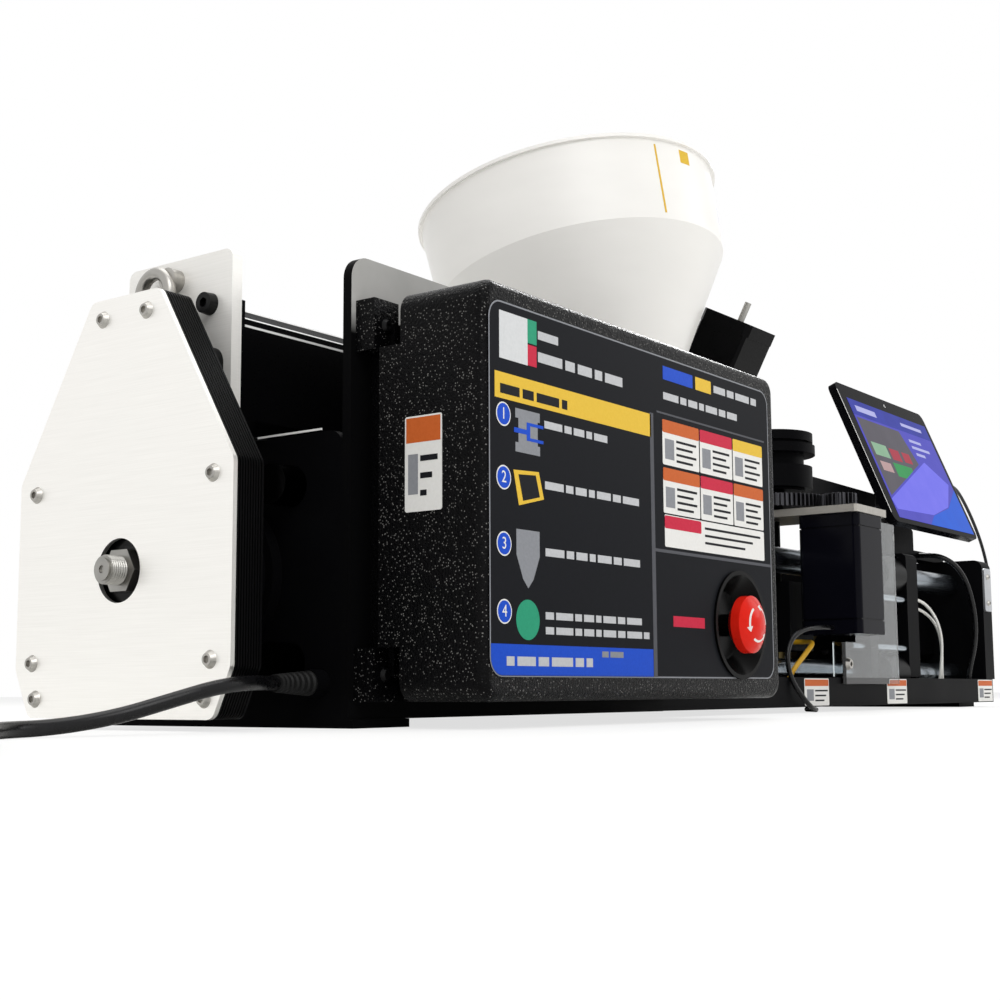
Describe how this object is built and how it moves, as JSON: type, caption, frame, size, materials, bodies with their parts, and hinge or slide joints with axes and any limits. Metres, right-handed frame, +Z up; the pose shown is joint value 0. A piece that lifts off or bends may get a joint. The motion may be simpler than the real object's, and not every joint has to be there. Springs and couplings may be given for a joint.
{
  "type": "desktop injection molding machine",
  "caption": "Long bench-top plastic injection machine with belt drive, control box, leaning hopper, geared valve, clamp on tie bars and a tilting tablet on an arm.",
  "frame": {"origin": "middle of the underside of the drive-end foot plate, under the screw axis", "axes": "+X along the machine from the belt cover to the mould end, +Y away from the control box, +Z up"},
  "size_m": [1.683, 0.4666, 0.4988],
  "materials": {
    "brushed_steel_plate": "brushed stainless plate",
    "black_plate": "black anodised plate, satin",
    "bar_steel": "ground and hard-chromed bar",
    "dark_housing": "black ribbed housing",
    "motor_black": "black motor frame, satin",
    "screw_steel": "turned steel",
    "belt_rubber": "toothed belt rubber",
    "aluminium": "milled aluminium",
    "band_brass": "heater band sheet",
    "hopper_plastic": "milky translucent plastic",
    "box_black": "black pebbled casing",
    "estop_black": "black plastic",
    "estop_red": "red plastic",
    "acrylic": "clear acrylic sheet",
    "tablet_glass": "black glass front",
    "cord_black": "black cord jacket",
    "wire_white": "white wire jacket",
    "lead_yellow": "yellow lead jacket"
  },
  "bodies": {
    "frame": {"foot_plate_drive": "black_plate", "foot_plate_mould": "black_plate", "rail_front": "black_plate", "rail_rear": "black_plate", "bed_plate": "black_plate", "rear_platen": "black_plate", "end_platen": "black_plate", "tie_bars": "bar_steel", "belt_cover": "brushed_steel_plate", "belt_housing": "dark_housing", "end_plate": "brushed_steel_plate", "bearing_housing": "screw_steel", "lifting_eye": "bar_steel", "injection_motor": "motor_black", "drive_belt": "belt_rubber", "barrel_carrier": "black_plate", "barrel": "screw_steel", "heater_bands": "band_brass", "feed_block": "black_plate", "hopper": "hopper_plastic", "hopper_collar": "hopper_plastic", "feed_motor": "motor_black", "valve_block": "black_plate", "valve_plate": "aluminium", "valve_motor": "motor_black", "fixed_platen": "black_plate", "clamp_motor": "motor_black", "guard": "acrylic", "mounting_plate": "black_plate", "box_shell": "box_black", "box_back": "box_black", "estop_collar": "estop_black", "tablet_arm": "motor_black", "power_cord": "cord_black", "power_cord_coil": "cord_black", "power_plug": "cord_black", "tablet_cable": "cord_black", "signal_cable": "cord_black", "sensor_wire_near": "wire_white", "sensor_wire_far": "wire_white", "valve_cable": "cord_black", "heater_lead": "lead_yellow"},
    "carriage": {"crosshead": "black_plate", "plunger": "screw_steel"},
    "screw": {"ball_screw": "screw_steel", "screw_pulley": "aluminium"},
    "rotor": {"motor_pulley": "aluminium"},
    "clamp": {"moving_platen": "black_plate", "platen_bushes": "motor_black", "guide_pins": "bar_steel", "clamp_rod": "bar_steel"},
    "valve": {"valve_stem": "motor_black", "valve_gear": "motor_black", "valve_lever": "motor_black"},
    "valve_drive": {"valve_pinion": "screw_steel"},
    "feeder": {"auger": "screw_steel"},
    "estop_plunger": {"estop_stem": "estop_black"},
    "estop_button": {"estop_head": "estop_red"},
    "display": {"tablet": "tablet_glass", "tablet_bracket": "motor_black"}
  },
  "joints": [
    {"name": "screw_spin", "type": "hinge", "parent": "frame", "child": "screw", "pos_m": [0, 0, 0.091], "axis": [1, 0, 0], "range_deg": [-2, 1802]},
    {"name": "plunger_slide", "type": "slide", "parent": "frame", "child": "carriage", "axis": [1, 0, 0], "range_m": [0, 0.1]},
    {"name": "motor_spin", "type": "hinge", "parent": "frame", "child": "rotor", "pos_m": [-0.09, 0, 0.2145], "axis": [1, 0, 0], "range_deg": [-5, 4355]},
    {"name": "clamp_slide", "type": "slide", "parent": "frame", "child": "clamp", "axis": [1, 0, 0], "range_m": [-0.035, 0.075], "deforming": ["sensor_wire_near", "sensor_wire_far"]},
    {"name": "valve_turn", "type": "hinge", "parent": "frame", "child": "valve", "pos_m": [0.6685, -0.033, 0.2], "axis": [0, 0, 1], "range_deg": [0, 90]},
    {"name": "pinion_spin", "type": "hinge", "parent": "frame", "child": "valve_drive", "pos_m": [0.6685, -0.105, 0.2], "axis": [0, 0, 1], "range_deg": [-343, 1]},
    {"name": "feeder_spin", "type": "hinge", "parent": "frame", "child": "feeder", "pos_m": [0.599, -0.0043, 0.3059], "axis": [0, -0.4695, 0.8829], "continuous": true},
    {"name": "estop_press", "type": "slide", "parent": "frame", "child": "estop_plunger", "axis": [0, 1, 0], "range_m": [0, 0.004], "stiffness_N_per_m": 900},
    {"name": "estop_twist", "type": "hinge", "parent": "estop_plunger", "child": "estop_button", "pos_m": [0.2759, -0.1975, 0.0662], "axis": [0, 1, 0], "range_deg": [0, 45], "stiffness_Nm_per_rad": 0.05},
    {"name": "tablet_tilt", "type": "hinge", "parent": "frame", "child": "display", "pos_m": [0.976, -0.03298, 0.26784], "axis": [1, 0, 0], "range_deg": [-25, 22], "deforming": ["tablet_cable"]}
  ],
  "couplings": [
    {"joint": "screw_spin", "follows": "plunger_slide", "rad_per_m": 314.16},
    {"joint": "motor_spin", "follows": "plunger_slide", "rad_per_m": 759.22},
    {"joint": "pinion_spin", "follows": "valve_turn", "ratio": -3.8}
  ]
}
